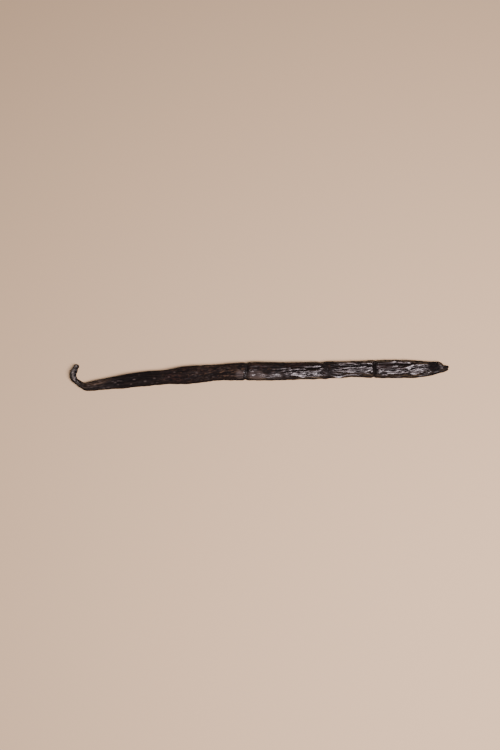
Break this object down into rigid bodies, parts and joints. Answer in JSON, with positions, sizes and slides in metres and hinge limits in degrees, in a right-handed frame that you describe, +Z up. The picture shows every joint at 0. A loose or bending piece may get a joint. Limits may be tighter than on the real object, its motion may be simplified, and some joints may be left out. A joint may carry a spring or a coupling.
{
  "type": "vanilla pod",
  "caption": "Cured vanilla pod: long, flattened and furrowed, with a hooked stalk end and a lipped blossom end.",
  "frame": {"origin": "middle of the pod's bounding box, on the plane that it lies on", "axes": "+X along the pod toward its blossom end, the stalk's hook at -X curling toward +Y, +Z up"},
  "size_m": [0.1752, 0.0146, 0.0058],
  "materials": {
    "pod_skin": "oily semi-gloss skin, nearly black brown, finely wrinkled along the pod"
  },
  "bodies": {
    "root": {"pod": "pod_skin"}
  },
  "joints": []
}
